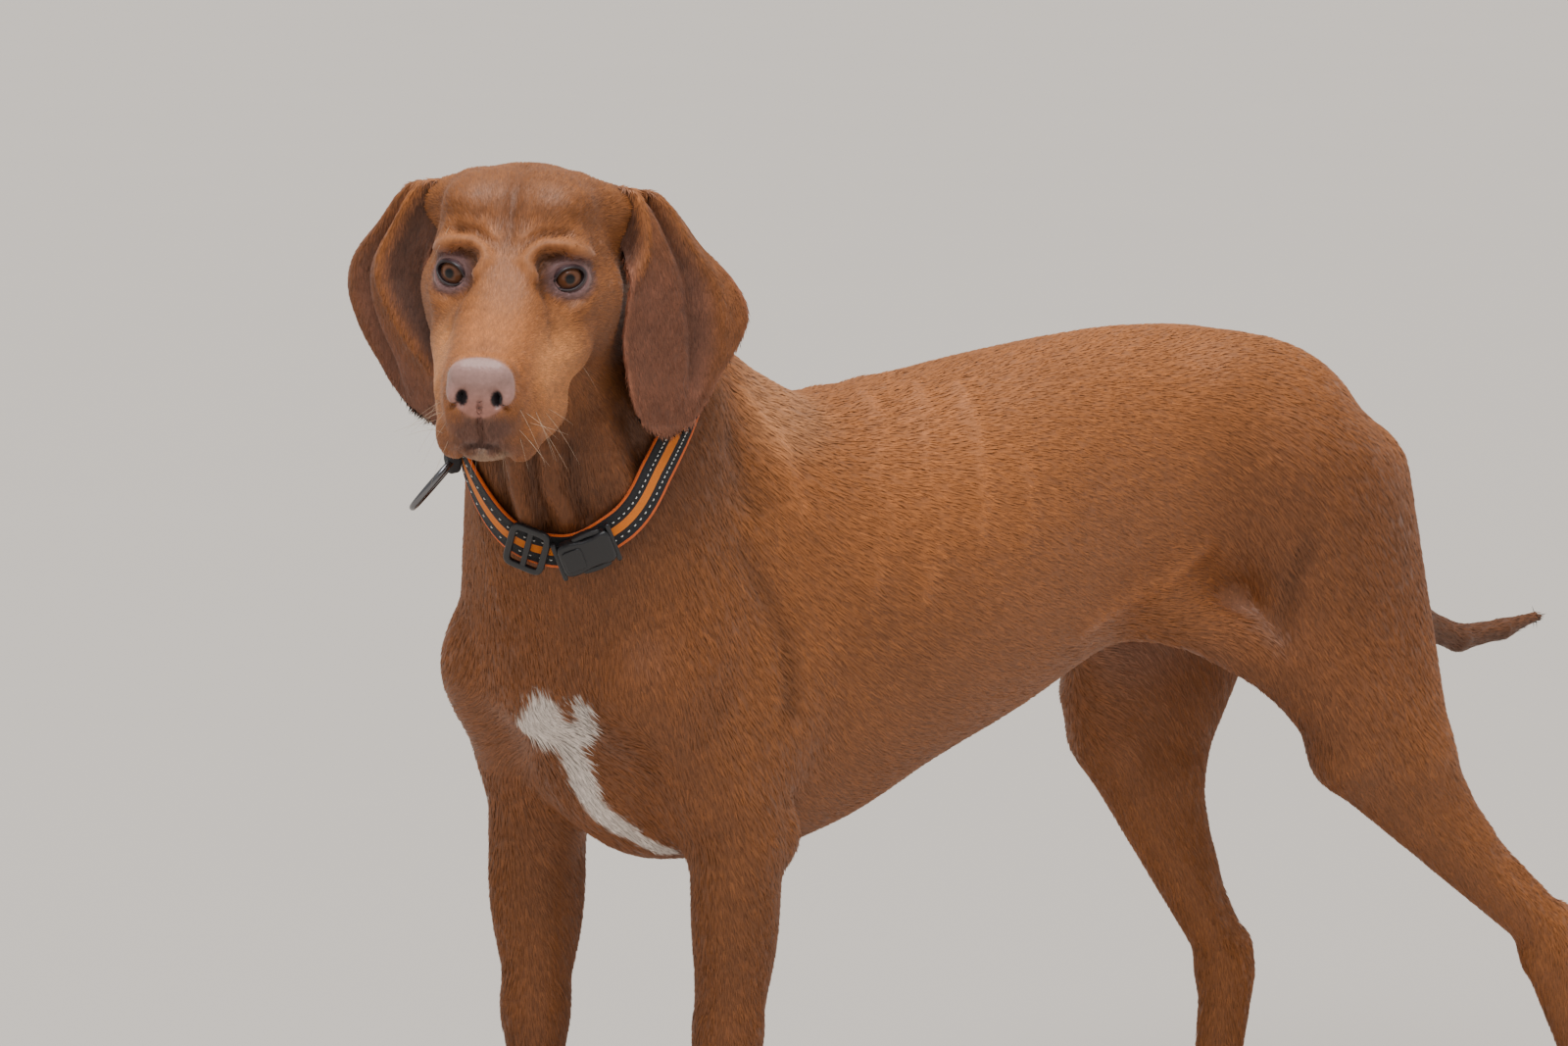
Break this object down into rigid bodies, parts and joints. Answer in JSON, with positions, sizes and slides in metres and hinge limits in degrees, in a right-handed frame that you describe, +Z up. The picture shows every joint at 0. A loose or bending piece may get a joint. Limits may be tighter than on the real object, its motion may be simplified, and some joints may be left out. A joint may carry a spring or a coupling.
{
  "type": "standing pointer dog",
  "caption": "Life-size short-coated rust-gold pointing dog standing still with its head turned, ears hanging and a buckled webbing collar.",
  "frame": {"origin": "on the floor, at the middle of the outline seen from above, under the belly", "axes": "+X to the dog's left, +Y from head to tail so that the dog faces -Y, +Z up"},
  "size_m": [0.257, 1.015, 0.6982],
  "materials": {
    "coat": "short dense golden-rust coat with a slight sheen, lying flat",
    "ear_coat": "darker, silkier rust-brown hair on thin ear leather",
    "nose_skin": "pebbled, slightly moist liver-pink nose leather",
    "eyeball": "wet, clear, amber-brown iris and dark pupil",
    "webbing": "black woven webbing with an orange centre stripe, pale stitching and an orange lining",
    "buckle_plastic": "black moulded plastic, faint grain",
    "ring_steel": "bright, lightly worn welded ring"
  },
  "bodies": {
    "root": {"trunk": "coat", "neck": "coat", "head": "coat", "tail": "coat", "foreleg_left_upper": "coat", "foreleg_left_lower": "coat", "foreleg_left_paw": "coat", "foreleg_right_upper": "coat", "foreleg_right_lower": "coat", "foreleg_right_paw": "coat", "hindleg_left_upper": "coat", "hindleg_left_lower": "coat", "hindleg_left_paw": "coat", "hindleg_right_upper": "coat", "hindleg_right_lower": "coat", "hindleg_right_paw": "coat", "ear_left": "ear_coat", "ear_right": "ear_coat", "nose": "nose_skin", "eye_left": "eyeball", "eye_right": "eyeball", "collar_strap": "webbing", "collar_keeper": "webbing", "collar_slider": "buckle_plastic", "collar_clasp": "buckle_plastic", "collar_ring": "ring_steel"}
  },
  "joints": []
}
